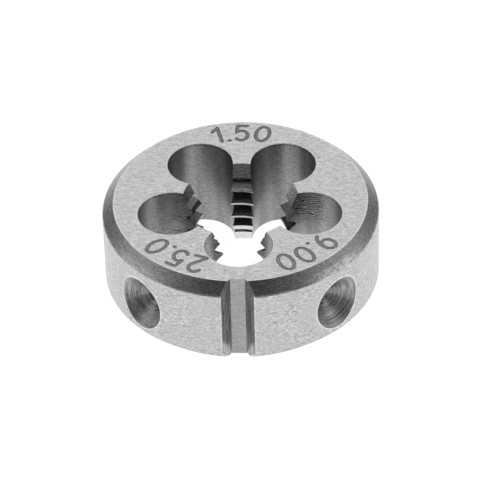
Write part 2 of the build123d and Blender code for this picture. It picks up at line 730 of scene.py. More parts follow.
@dataclass
class SizeMarks:
    """Plain numbers engraved in the upper face, their tops outward, that read clockwise.

    Attributes:
        words: The numbers, with the direction of each one's middle in radians.
        radius: The radius of the circle that their foot lines touch.
        tall: The height of a figure.
        wide: The width of a figure.
        gap: The space between two figures.
        stroke: The width of a stroke.
        depth: How deep the strokes go.
        sides: Points in the tool's circle.
        bends: Points in the path of a bow.
        widths: The width of the narrow signs, as a share of a figure's.
        nudge: How far a 1 stands to the left in its room, as a share of a figure's width.
    """

    words: dict[str, float]
    radius: float = 8.75 * MM
    tall: float = 2.15 * MM
    wide: float = 1.4 * MM
    gap: float = 0.52 * MM
    stroke: float = 0.39 * MM
    depth: float = 0.05 * MM
    sides: int = 20
    bends: int = 25
    widths: dict[str, float] = field(default_factory=lambda: {".": 0.05, "1": 0.72})
    nudge: float = 0.1

    def strokes(self, sign: str) -> list[tuple[np.ndarray, bool]]:
        """Draws a figure as the paths that an engraving tool takes, in a box of unit height.

        Args:
            sign: A figure or a point.

        Returns:
            For each stroke, its path and whether the path closes.
        """
        w = self.wide / self.tall

        def line(*corners: tuple[float, float]) -> np.ndarray:
            """A path from corner to corner."""
            return np.array(corners) * [w, 1.0]

        def bow(x: float, y: float, across: float, up: float, start: float, end: float) -> np.ndarray:
            """A part of an ellipse round x, y, from one angle to another in degrees."""
            turn = np.radians(np.linspace(start, end, self.bends))
            return np.stack([(x + across * np.cos(turn)) * w, y + up * np.sin(turn)], axis=1)

        ring = bow(0.5, 0.5, 0.44, 0.5, 0, 345)
        figures = {
            "0": [(ring, True)],
            "1": [(line((0.62, 0.0), (0.62, 1.0)), False), (line((0.2, 0.72), (0.6, 0.97)), False)],
            "2": [
                (np.concatenate([bow(0.5, 0.72, 0.4, 0.28, 160, -35), line((0.12, 0.02))]), False),
                (line((0.12, 0.0), (0.92, 0.0)), False),
            ],
            "5": [
                (line((0.86, 1.0), (0.2, 1.0)), False),
                (line((0.2, 1.0), (0.14, 0.56)), False),
                (bow(0.46, 0.33, 0.42, 0.33, 138, -140), False),
            ],
            "9": [
                (bow(0.5, 0.68, 0.4, 0.32, 0, 345), True),
                (bow(0.28, 0.66, 0.62, 0.66, 0, -78), False),
            ],
            ".": [(np.array([[0.0, 0.02], [0.04, 0.02]]), False)],
        }
        return figures[sign]

    def width(self, sign: str) -> float:
        """The room that a figure takes along the line."""
        return self.widths.get(sign, 1.0) * self.wide

    def surfaces(self, face: float) -> list[Surface]:
        """Carries the tool along every stroke.

        Args:
            face: The height of the face that is engraved.

        Returns:
            Layers of grooves. The strokes of one layer don't touch each other.
        """
        ball = ((self.stroke / 2) ** 2 + self.depth**2) / (2 * self.depth)
        height = face + ball - self.depth
        layers: dict[int, list[Surface]] = {}
        for word, middle in self.words.items():
            length = sum(self.width(sign) for sign in word) + self.gap * (len(word) - 1)
            start = -length / 2
            for sign in word:
                centre = start + self.width(sign) / 2
                turn = middle - centre / (self.radius + self.tall / 2)
                out = np.array([cos(turn), sin(turn)])
                foot = self.radius * out
                along = np.array([sin(turn), -cos(turn)])
                for layer, (path, closed) in enumerate(self.strokes(sign)):
                    x = path[:, 0] * self.tall - self.width(sign) / 2
                    if sign == "1":
                        x = x - self.nudge * self.wide
                    y = path[:, 1] * self.tall
                    level = foot + x[:, None] * along + y[:, None] * out
                    tube = round_tube(level, ball, height, self.sides, closed)
                    layers.setdefault(layer, []).append(tube)
                start += self.width(sign) + self.gap
        return [Surface.joined(tubes) for tubes in layers.values()]


@dataclass
class Corners:
    """The corners of a mesh's faces as plain arrays, one row for each.

    Attributes:
        zone: The zone number of the corner's face.
        place: Where the corner is.
        middle: The middle of its face.
        normal: The normal of its face.
    """

    zone: np.ndarray
    place: np.ndarray
    middle: np.ndarray
    normal: np.ndarray

    @staticmethod
    def of(mesh: bpy.types.Mesh) -> "Corners":
        """Reads a mesh corner by corner.

        Args:
            mesh: The mesh.

        Returns:
            All its corners.
        """
        faces = mesh.polygons
        owner = np.repeat(np.arange(len(faces)), read(faces, "loop_total", 1, np.int32))
        point = read(mesh.loops, "vertex_index", 1, np.int32)
        return Corners(
            read(faces, "material_index", 1, np.int32)[owner],
            read(mesh.vertices, "co")[point].astype(float),
            read(faces, "center")[owner].astype(float),
            read(faces, "normal")[owner].astype(float),
        )

    def among(self, *zones: Zone) -> tuple[np.ndarray, "Corners"]:
        """Picks the corners of some zones: which ones they are, and the corners."""
        mask = np.isin(self.zone, [zone.value for zone in zones])
        return mask, Corners(self.zone[mask], self.place[mask], self.middle[mask], self.normal[mask])

    def turned_normals(self, origin: np.ndarray, axis: np.ndarray) -> np.ndarray:
        """Turns each face's normal to its corners' own direction round an axis.

        The normal's share away from the axis and its share along it stay, and the first follows
        the spoke of the corner.

        Args:
            origin: A point on the axis, for each corner or for all.
            axis: The axis, for each corner or for all.

        Returns:
            One unit normal for each corner.
        """
        def spoke(points: np.ndarray) -> np.ndarray:
            """The direction from the axis to each point."""
            reach = points - origin
            reach = reach - (reach * axis).sum(1, keepdims=True) * axis
            return reach / np.maximum(np.linalg.norm(reach, axis=1, keepdims=True), 1e-9)

        away = (self.normal * spoke(self.middle)).sum(1, keepdims=True)
        along = (self.normal * axis).sum(1, keepdims=True)
        normal = away * spoke(self.place) + along * axis
        return normal / np.linalg.norm(normal, axis=1, keepdims=True)


def read(items: "bpy.types.bpy_prop_collection", name: str, width: int = 3,
         kind: type = np.float32) -> np.ndarray:
    """Reads one property of all points, corners or faces of a mesh.

    Args:
        items: The points, corners or faces.
        name: The property.
        width: How many numbers it has.
        kind: What kind of number they are.

    Returns:
        One row for each item, or one number where the width is 1.
    """
    values = np.empty(len(items) * width, kind)
    items.foreach_get(name, values)
    return values.reshape(-1, width) if width > 1 else values


def nearest(points: np.ndarray, choices: np.ndarray) -> np.ndarray:
    """Finds which of a few places each point is nearest to, seen from above."""
    reach = points[:, None, :2] - choices[None, :, :2]
    return np.argmin((reach**2).sum(2), axis=1)


def wrap(points: np.ndarray, middles: np.ndarray, seam: np.ndarray | float) -> np.ndarray:
    """Finds the turn of points from a seam, kept on the side of the seam where their faces are.

    Args:
        points: The points, seen from above.
        middles: The middles of their faces.
        seam: The seam's direction in radians.

    Returns:
        The turns in radians.
    """
    own = (np.arctan2(middles[:, 1], middles[:, 0]) - seam) % (2 * pi)
    turn = np.arctan2(points[:, 1], points[:, 0]) - seam
    return own + (turn - own + pi) % (2 * pi) - pi


@dataclass
class ThreadingDie:
    """The whole piece: a blank and what is cut into it.

    Attributes:
        name: The piece's name.
        thickness: From face to face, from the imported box.
        radius: The rim's radius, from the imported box.
        groove: The groove of the thread.
        top_lead: The lead-in at the upper face.
        bottom_lead: The lead-in at the lower face.
    """

    name: str = "threading_die"
    thickness: float = CAD_BOX[1].z - CAD_BOX[0].z
    radius: float = (CAD_BOX[1].x - CAD_BOX[0].x) / 2
    groove: ThreadGroove = field(default_factory=ThreadGroove)
    top_lead: LeadIn = field(default_factory=lambda: LeadIn(5.25 * MM, radians(24.0), True))
    bottom_lead: LeadIn = field(default_factory=lambda: LeadIn(5.5 * MM, radians(25.0), False))

    def __post_init__(self) -> None:
        """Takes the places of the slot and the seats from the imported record."""
        middle = mount("slot_floor")
        toward_slot = atan2(middle[1], middle[0])
        self.blank = Blank(self.radius, self.thickness, self.groove.crest)
        self.holes = ChipHoles(toward_slot)
        self.slot = HolderSlot(toward_slot, hypot(middle[0], middle[1]))
        self.seats = ScrewSeats(np.array([mount("seat_left"), mount("seat_right")]))
        self.marks = SizeMarks({"1.50": radians(91.0), "25.0": radians(-124.5), "9.00": radians(-51.5)})

    def build(self) -> bpy.types.Object:
        """Cuts the blank, in the order in which the mesh stays closed.

        Returns:
            The finished piece, in metres, with one material slot for each zone.
        """
        die = self.blank.surface().piece(self.name)
        cuts = [
            self.groove.surface(self.thickness),
            self.holes.surface(self.thickness),
            self.top_lead.surface(self.thickness, self.groove.crest),
            self.bottom_lead.surface(self.thickness, self.groove.crest),
            self.slot.surface(self.blank),
            self.seats.surface(),
            *self.marks.surfaces(self.thickness),
        ]
        forms = [cut.piece(f"form_{number}") for number, cut in enumerate(cuts)]
        for form in forms:
            cutting = die.modifiers.new("cut", "BOOLEAN")
            cutting.operation = "DIFFERENCE"
            cutting.solver = "EXACT"
            cutting.material_mode = "INDEX"
            cutting.object = form
        bpy.context.view_layer.update()
        graph = bpy.context.evaluated_depsgraph_get()
        mesh = bpy.data.meshes.new_from_object(die.evaluated_get(graph))
        die.modifiers.clear()
        die.data = mesh
        mesh.name = self.name
        for form in forms:
            bpy.data.objects.remove(form)
        low, high = (np.array(corner, np.float32) for corner in CAD_BOX)
        place = np.clip(read(mesh.vertices, "co") / np.float32(CUTTING_SCALE), low, high)
        mesh.vertices.foreach_set("co", place.ravel())
        mesh.update()
        self.smooth(mesh)
        self.unroll(mesh)
        return die

    def smooth(self, mesh: bpy.types.Mesh) -> None:
        """Gives every corner the normal of the true surface that it lies on.

        Args:
            mesh: The finished mesh, in metres.
        """
        corners = Corners.of(mesh)
        normal = corners.normal.copy()
        around, part = corners.among(Zone.RIM, Zone.CHAMFER, Zone.LEAD_IN, Zone.EDGE)
        normal[around] = part.turned_normals(0 * UP, UP)
        drilled, part = corners.among(Zone.CHIP_HOLE)
        normal[drilled] = part.turned_normals(self.holes.axes[nearest(part.middle, self.holes.axes)], UP)
        sunk, part = corners.among(Zone.SEAT)
        seat = nearest(part.middle, self.seats.tips())
        normal[sunk] = part.turned_normals(self.seats.tips()[seat], self.seats.directions()[seat])
        cut, part = corners.among(Zone.THREAD, Zone.FLANK)
        normal[cut] = self.groove.normals(part.place, part.normal)
        mesh.polygons.foreach_set("use_smooth", np.ones(len(mesh.polygons), bool))
        mesh.normals_split_custom_set(normal)

    def unroll(self, mesh: bpy.types.Mesh) -> None:
        """Lays the surfaces out in a UV map whose unit is a millimetre.

        A flat face keeps its x and y. A turned wall has its arc length as u and its height as v,
        with the seam towards the slot, or for a chip hole towards the open bore. Crest and root of
        the thread have their height above the groove's middle as v. A seat has the turn about its
        own axis as u and the distance from its tip as v.

        Args:
            mesh: The finished mesh, in metres.
        """
        corners = Corners.of(mesh)
        laid = corners.place[:, :2].copy()
        seam = self.slot.direction

        upright, part = corners.among(Zone.RIM, Zone.CHAMFER, Zone.EDGE)
        x, y, z = part.place.T
        laid[upright, 0] = self.radius * wrap(part.place, part.middle, seam)
        laid[upright, 1] = z + np.sign(z - self.thickness / 2) * (self.radius - np.hypot(x, y))

        inner, part = corners.among(Zone.THREAD, Zone.FLANK, Zone.LEAD_IN)
        x, y, z = part.place.T
        laid[inner, 0] = self.groove.crest * wrap(part.place, part.middle, seam)
        laid[inner, 1] = z + np.hypot(x, y)
        cut, part = corners.among(Zone.THREAD)
        laid[cut, 1] = self.groove.profile(part.place, part.middle)

        drilled, part = corners.among(Zone.CHIP_HOLE)
        hole = nearest(part.middle, self.holes.axes)
        axis = self.holes.axes[hole]
        turn = wrap(part.place - axis, part.middle - axis, self.holes.directions[hole] + pi)
        laid[drilled, 0] = self.holes.radius * (turn + 2 * pi * hole)
        laid[drilled, 1] = part.place[:, 2]

        milled, part = corners.among(Zone.SLOT_FLANK, Zone.SLOT_FLOOR)
        laid[milled, 0] = part.place @ np.array([-sin(seam), cos(seam), 0.0])
        laid[milled, 1] = part.place[:, 2]

        sunk, part = corners.among(Zone.SEAT)
        seat = nearest(part.middle, self.seats.tips())
        tip, out = self.seats.tips()[seat], self.seats.directions()[seat]
        side = np.stack([-out[:, 1], out[:, 0], 0 * out[:, 0]], axis=1)

        def across(points: np.ndarray) -> np.ndarray:
            """Each point as it is seen along its seat's axis."""
            reach = points - tip
            return np.stack([(reach * side).sum(1), reach[:, 2]], axis=1)

        laid[sunk, 0] = (wrap(across(part.place), across(part.middle), 0.0) + 2 * pi * seat) * MM
        laid[sunk, 1] = np.linalg.norm(part.place - tip, axis=1)

        layer = mesh.uv_layers.new(name=UV_NAME)
        layer.data.foreach_set("uv", (laid / MM).astype(np.float32).ravel())


class Sketch:
    """A node tree, with short ways to add the nodes that the finishes and the studio use."""

    def __init__(self, owner: "bpy.types.Material | bpy.types.World") -> None:
        """Empties the tree.

        Args:
            owner: The material or the world that has the tree.
        """
        owner.use_nodes = True
        self.tree = owner.node_tree
        self.tree.nodes.clear()

    def feed(self, node: bpy.types.Node, inputs: Inputs) -> None:
        """Feeds a node's inputs from signals, or sets them to plain values.

        Args:
            node: The node.
            inputs: What goes in, by the inputs' names or numbers.
        """
        for name, value in inputs.items():
            if isinstance(value, Signal):
                self.tree.links.new(value.socket, node.inputs[name])
            else:
                node.inputs[name].default_value = value

    def node(self, kind: str, inputs: Inputs | None = None, **settings: object) -> bpy.types.Node:
        """Adds a node.

        Args:
            kind: Its type, without ShaderNode in front.
            inputs: What goes into it.
            settings: Its own settings, which are made first.

        Returns:
            The node.
        """
        made = self.tree.nodes.new(f"ShaderNode{kind}")
        for name, value in settings.items():
            setattr(made, name, value)
        self.feed(made, inputs or {})
        return made

    def add(self, kind: str, inputs: Inputs | None = None, output: int | str = 0,
            **settings: object) -> "Signal":
        """Adds a node as above and takes the signal of one of its outputs."""
        return Signal(self, self.node(kind, inputs, **settings).outputs[output])

    def mix(self, factor: "Signal", a: "Signal", b: "Signal | tuple[float, ...]") -> "Signal":
        """Mixes two colours, from the first at factor 0 to the second at factor 1."""
        return self.add("Mix", {"Factor": factor, "A": a, "B": b}, "Result", data_type="RGBA")

    def ramp(self, height: "Signal", stops: Sequence[tuple[float, float]]) -> "Signal":
        """Adds a ramp of greys.

        Args:
            height: A height from -1 to 1.
            stops: Heights, going up, and the grey at each.

        Returns:
            The grey at the height.
        """
        made = self.node("ValToRGB", {0: height.span(-1.0, 1.0, 0.0, 1.0)})
        elements = made.color_ramp.elements
        elements.remove(elements[1])
        for number, (stop, level) in enumerate(stops):
            where = (stop + 1) / 2
            element = elements.new(where) if number else elements[0]
            element.position = where
            element.color = (level, level, level, 1.0)
        return Signal(self, made.outputs[0])


@dataclass(frozen=True)
class Signal:
    """What a node gives. Sums on signals are written as on numbers, and each adds a node.

    Attributes:
        sketch: The tree that the node is in.
        socket: The node's output.
    """

    sketch: Sketch
    socket: bpy.types.NodeSocket

    def math(self, operation: str, other: "Signal | float" = 0.0) -> "Signal":
        """Adds a sum on this signal and, where the sum takes two, another value."""
        return self.sketch.add("Math", {0: self, 1: other}, operation=operation)

    def __add__(self, other: "Signal | float") -> "Signal":
        """This signal plus another value."""
        return self.math("ADD", other)

    def __sub__(self, other: "Signal | float") -> "Signal":
        """This signal less another value."""
        return self.math("SUBTRACT", other)

    def __rsub__(self, other: float) -> "Signal":
        """A number less this signal."""
        return self.sketch.add("Math", {0: other, 1: self}, operation="SUBTRACT")

    def __mul__(self, other: "Signal | float") -> "Signal":
        """This signal times another value."""
        return self.math("MULTIPLY", other)

    def __truediv__(self, other: "Signal | float") -> "Signal":
        """This signal over another value."""
        return self.math("DIVIDE", other)

    def __abs__(self) -> "Signal":
        """This signal without its sign."""
        return self.math("ABSOLUTE")

    def span(self, low: float, high: float, to_low: float, to_high: float,
             smooth: bool = False) -> "Signal":
        """Carries a value from one range to another, clamped to its ends.

        Args:
            low: The first end of its range.
            high: The second end.
            to_low: What the first end becomes.
            to_high: What the second end becomes.
            smooth: Whether it leaves and reaches the ends softly.

        Returns:
            The new value.
        """
        limits = {0: self, 1: low, 2: high, 3: to_low, 4: to_high}
        form = "SMOOTHSTEP" if smooth else "LINEAR"
        return self.sketch.add("MapRange", limits, interpolation_type=form)

    def parts(self) -> "list[Signal]":
        """The three coordinates of a vector."""
        return [Signal(self.sketch, part) for part in self.sketch.node("SeparateXYZ", {0: self}).outputs]

    def measure(self, operation: str, other: Sequence[float]) -> "Signal":
        """Measures this vector against a fixed one."""
        vectors = {0: self, 1: tuple(other)}
        return self.sketch.add("VectorMath", vectors, "Value", operation=operation)

    def distance(self, other: Sequence[float]) -> "Signal":
        """How far a point is from a fixed one."""
        return self.measure("DISTANCE", other)

    def along(self, direction: Sequence[float]) -> "Signal":
        """How far a point lies along a direction from the origin."""
        return self.measure("DOT_PRODUCT", direction)

    def stretched(self, scale: Sequence[float], turn: float = 0.0) -> "Signal":
        """Scales coordinates to pattern units, after a turn about Z.

        Args:
            scale: How many units there are along x, y and z. Without a third number z stays.
            turn: The turn in radians.

        Returns:
            The new coordinates.
        """
        turned_first = {"Vector": self, "Rotation": (0.0, 0.0, turn)}
        laid = self.sketch.add("Mapping", turned_first) if turn else self
        return self.sketch.add("Mapping", {"Vector": laid, "Scale": (*scale, 1.0)[:3]})

    def noise(self, detail: float = 2.0, roughness: float = 0.5, distortion: float = 0.0) -> "Signal":
        """Soft noise about 0.5, one unit across."""
        form = {"Scale": 1.0, "Detail": detail, "Roughness": roughness, "Distortion": distortion}
        return self.sketch.add("TexNoise", {"Vector": self, **form})


def faded(signal: Signal | float, value: Signal, limits: tuple[float, float], fade: float,
          smooth: bool = False) -> Signal | float:
    """Fades a signal out where a value comes near its limits.

    Args:
        signal: The signal.
        value: The value.
        limits: The least and the greatest value. An infinite one fades nothing.
        fade: How far inside a limit the fading begins.
        smooth: Whether it begins and ends softly.

    Returns:
        The signal, which is 0 beyond the limits.
    """
    low, high = limits
    if isfinite(low):
        signal = value.span(low, low + fade, 0.0, 1.0, smooth) * signal
    if isfinite(high):
        signal = value.span(high - fade, high, 1.0, 0.0, smooth) * signal
    return signal


class SteelSketch(Sketch):
    """A material's node tree, which ends in a steel shader."""

    def __init__(self, material: bpy.types.Material) -> None:
        """Puts the shader into the empty tree.

        Args:
            material: The material to draw.
        """
        super().__init__(material)
        self.steel = self.node("BsdfPrincipled", {"Metallic": 1.0})
        self.node("OutputMaterial", {0: Signal(self, self.steel.outputs[0])})

    def unrolled(self) -> Signal:
        """The piece's own UV map, in millimetres."""
        return self.add("UVMap", uv_map=UV_NAME)

    def place(self) -> Signal:
        """The point's own coordinates, in metres."""
        return self.add("TexCoord", output="Object")

    def spot(self, place: Sequence[float], whole: float, reach: float, gain: float) -> Signal:
        """A soft round spot round a place, at full gain out to a share of its reach."""
        return self.place().distance(place).span(whole * reach, reach, gain, 0.0, smooth=True)

    def bump(self, height: Signal, depth: float) -> None:
        """Roughens the steel by a height field, whose height of 1 measures the depth in metres."""
        bump = self.add("Bump", {"Strength": 1.0, "Distance": depth, "Height": height})
        self.feed(self.steel, {"Normal": bump})

    def brush(self, strength: float) -> None:
        """Draws what the steel mirrors out along v, across marks that run along u.

        Args:
            strength: The shader's anisotropy, from 0 to 1.
        """
        tangent = self.add("Tangent", direction_type="UV_MAP", uv_map=UV_NAME)
        quarter_turn = 0.25
        self.feed(self.steel, {
            "Tangent": tangent, "Anisotropic": strength, "Anisotropic Rotation": quarter_turn,
        })


@dataclass(frozen=True)
class Grain:
    """One layer of the fine marks that a tool leaves.

    Attributes:
        lines: Marks in a millimetre, along u and along v of the UV map.
        contrast: How far they shift the grey each way, as a share of it.
        turn: Their turn in radians.
        waver: How much the marks waver.
        rough: How much finer marks lie on them, from 0 to 1.
        gather: How far they gather in patches, from 0 to 1.
        detail: How many finer layers the marks have.
    """

    lines: tuple[float, float]
    contrast: float
    turn: float = 0.0
    waver: float = 0.0
    rough: float = 0.5
    gather: float = 0.0
    detail: float = 2.0

    def marks(self, sketch: SteelSketch) -> Signal:
        """Draws the marks as heights about 0.5."""
        laid = sketch.unrolled().stretched(self.lines, self.turn)
        return laid.noise(self.detail, self.rough, self.waver)

    def share(self, marks: Signal) -> Signal:
        """Carries the marks to their shift of the grey."""
        return marks.span(*NOISE_RANGE, -self.contrast, self.contrast)


@dataclass(frozen=True)
class Mottle:
    """Soft patches that carry a strength from one value to another.

    Attributes:
        lines: Patches in a millimetre, along u and along v of the UV map.
        noise: From which value of the noise to which the strength runs.
        strength: The strength at the first value and at the second.
        detail: How many finer layers the noise has.
        rough: How much they count, from 0 to 1.
    """

    lines: tuple[float, float]
    noise: tuple[float, float]
    strength: tuple[float, float]
    detail: float = 3.0
    rough: float = 0.7

    def draw(self, laid: Signal) -> Signal:
        """Draws the strength over the UV map."""
        noise = laid.stretched(self.lines).noise(self.detail, self.rough)
        return noise.span(*self.noise, *self.strength)


@dataclass(frozen=True)
class Finish:
    """Steel as one tool leaves it.

    Attributes:
        grey: The middle of its base colour.
        roughness: The shader's roughness.
        grains: Its layers of marks. The first one also shapes the surface.
        depth: How deep the first layer is, in metres.
        brushed: How far the marks draw a mirrored light out across them, from 0 to 1.
        patches: The patches in a millimetre that marks gather in, along u and along v.
    """

    grey: float
    roughness: float
    grains: tuple[Grain, ...]
    depth: float = 0.0
    brushed: float = 0.0
    patches: tuple[float, float] = (0.35, 0.7)

    def shift(self, sketch: SteelSketch) -> Signal:
        """Adds up the layers of marks and shapes the surface with the first.

        Args:
            sketch: The material.

        Returns:
            The shift of the grey as a share of it.
        """
        total: Signal | None = None
        for grain in self.grains:
            marks = grain.marks(sketch)
            share = grain.share(marks)
            if grain.gather:
                patch = sketch.unrolled().stretched(self.patches).noise(1.0)
                share = share * patch.span(*PATCH_RANGE, 1.0 - grain.gather, 1.0 + grain.gather)
            if total is None and self.depth:
                sketch.bump(marks, self.depth)
            total = share if total is None else total + share
        return total

    def matt(self, sketch: SteelSketch) -> Signal | float:
        """Gives the roughness, here the same everywhere."""
        return self.roughness

    def draw(self, material: bpy.types.Material) -> None:
        """Draws the finish: its grey times one plus the shift.

        Args:
            material: The material to draw.
        """
        sketch = SteelSketch(material)
        shade = (self.shift(sketch) + 1.0) * self.grey
        sketch.feed(sketch.steel, {"Base Color": shade, "Roughness": self.matt(sketch)})
        if self.brushed:
            sketch.brush(self.brushed)


@dataclass(frozen=True)
class GroundFinish(Finish):
    """A ground face, with a painted highlight in a thin ring along the edges of holes and rim.

    Attributes:
        holes: The holes whose mouths have the painted highlight.
        rim: The radius of the face's outer edge.
        whole: How far from an edge the ring is brightest.
        reach: How far the brighter ring reaches from an edge.
        gain: How much brighter it is, as a share.
    """

    holes: ChipHoles | None = None
    rim: float = 11.5 * MM
    whole: float = 0.02 * MM
    reach: float = 0.2 * MM
    gain: float = 0.2

    def shift(self, sketch: SteelSketch) -> Signal:
        """Adds the painted highlight rings, by the distance from the nearest edge.

        Args:
            sketch: The material.

        Returns:
            The shift of the grey as a share of it.
        """
        level = sketch.place().stretched((1.0, 1.0, 0.0))
        nearest_edge = self.rim - level.distance((0.0, 0.0, 0.0))
        for axis in self.holes.axes:
            nearest_edge = nearest_edge.math("MINIMUM", level.distance(axis) - self.holes.radius)
        # Painted highlight: a thin bright ring along each edge of the face.
        ring = nearest_edge.span(self.whole, self.reach, self.gain, 0.0, smooth=True)
        return super().shift(sketch) + ring


@dataclass(frozen=True)
class RimFinish(Finish):
    """The ground rim, with a painted highlight in a thin ring round the mouths of the screw seats.

    Attributes:
        seats: The seats, which lie on both sides of the slot at the same distance.
        whole: How far from a mouth the ring is brightest, as a share of its reach.
        reach: How far the brighter ring reaches from a mouth.
        gain: How much brighter it is, as a share.
    """

    seats: ScrewSeats | None = None
    whole: float = 0.4
    reach: float = 0.16 * MM
    gain: float = 0.35

    def shift(self, sketch: SteelSketch) -> Signal:
        """Adds the painted highlight rings, by the distance from a seat's cone.

        With a the distance from the cone's tip along its axis and d the distance from the tip, the
        cone lies at sqrt(d^2 - a^2) cos(slope) - a sin(slope) = 0.

        Args:
            sketch: The material.

        Returns:
            The shift of the grey as a share of it.
        """
        nearest_mouth: Signal | float = 1.0
        for tip, out in zip(self.seats.tips(), self.seats.directions()):
            along = sketch.place().along(out) - float(tip @ out)
            reach = sketch.place().distance(tip)
            aside = (reach.math("POWER", 2.0) - along.math("POWER", 2.0)).math("SQRT")
            gap = aside * cos(self.seats.slope) - along * sin(self.seats.slope)
            nearest_mouth = gap.math("MINIMUM", nearest_mouth)
        # Painted highlight: a thin bright ring round each seat's mouth.
        ring = nearest_mouth.span(self.whole * self.reach, self.reach, self.gain, 0.0, smooth=True)
        return super().shift(sketch) + ring


@dataclass(frozen=True)
class ChamferFinish(Finish):
    """A turned chamfer, with a painted reflection in patches along its edge at the rim above the screw
    seats, and painted shade in a few places.

    Attributes:
        seats: The seats that the painted reflection lies above.
        gains: How much brighter the painted reflection makes each place, as a share.
        reach: How far a place reaches along the chamfer.
        whole: How far it is brightest, as a share of its reach.
        edge: The v of the chamfer's edge at the rim, in millimetres.
        fade: How far up the chamfer the brightness fades, in millimetres of v.
        rise: From where to where about the edge it sets in, in millimetres of v.
        least: Its share below that.
        painted_patch: The patches that the painted reflection gathers in.
        shade_spots: Places of painted shade: their x and y, how far they reach, and how much darker they
            are.
        shade_spots_rise: How far above the chamfer's edge their middles lie, in millimetres.
        shade_spots_whole: How far they are darkest, as a share of their reach.
    """

    seats: ScrewSeats | None = None
    gains: tuple[float, float] = (0.7, 1.7)
    reach: float = 4.2 * MM
    whole: float = 0.35
    edge: float = 8.0
    fade: float = 1.15
    rise: tuple[float, float] = (-0.05, 0.4)
    least: float = 0.5
    painted_patch: Mottle = Mottle((1.3, 2.2), (0.36, 0.6), (0.2, 1.2))
    shade_spots: tuple[tuple[float, float, float, float], ...] = (
        (-11.3 * MM, -4.1 * MM, 4.5 * MM, 0.16),
        (-2.1 * MM, -11.9 * MM, 2.5 * MM, 0.12),
        (1.6 * MM, -12.0 * MM, 2.2 * MM, 0.18),
    )
    shade_spots_rise: float = 0.5
    shade_spots_whole: float = 0.2

    def shift(self, sketch: SteelSketch) -> Signal:
        """Adds the painted reflection: near a seat's direction, near the edge, and in patches. Then it
        adds the painted shade spots.

        Args:
            sketch: The material.

        Returns:
            The shift of the grey as a share of it.
        """
        laid = sketch.unrolled()
        v = laid.parts()[1]
        low, high = (self.edge + off for off in self.rise)
        # Painted reflection along the chamfer's lower edge, brightest above each seat, gathered in
        # patches.
        near_edge = v.span(self.edge, self.edge + self.fade, 1.0, 0.0)
        near_edge = near_edge * v.span(low, high, self.least, 1.0)
        painted_patch = near_edge * self.painted_patch.draw(laid)
        total = super().shift(sketch)
        for (x, y, _), gain in zip(self.seats.places, self.gains):
            total = total + sketch.spot((x, y, self.edge * MM), self.whole, self.reach, gain) * painted_patch
        # Painted shade in a few places on the chamfer.
        height = (self.edge + self.shade_spots_rise) * MM
        for x, y, reach, loss in self.shade_spots:
            total = total + sketch.spot((x, y, height), self.shade_spots_whole, reach, -loss)
        return total


@dataclass(frozen=True)
class PaintedLight:
    """A place of painted light on the wall of one chip hole: a painted glint, or light that takes back
    part of the painted shade beside the bore.

    Attributes:
        hole: The hole's number, from the one at the slot anticlockwise.
        back: Its least and greatest distance from the wall's back, in turns.
        height: Its least and greatest height, in millimetres.
        gain: How much brighter it is, as a share.
        still: How far it takes the chatter away, from 0 to 1.
        back_fade: How far inside its sides it fades, in turns.
        height_fade: How far inside its ends it fades, in millimetres.
    """

    hole: int
    back: tuple[float, float]
    height: tuple[float, float]
    gain: float
    still: float = 0.0
    back_fade: float = 0.05
    height_fade: float = 0.9


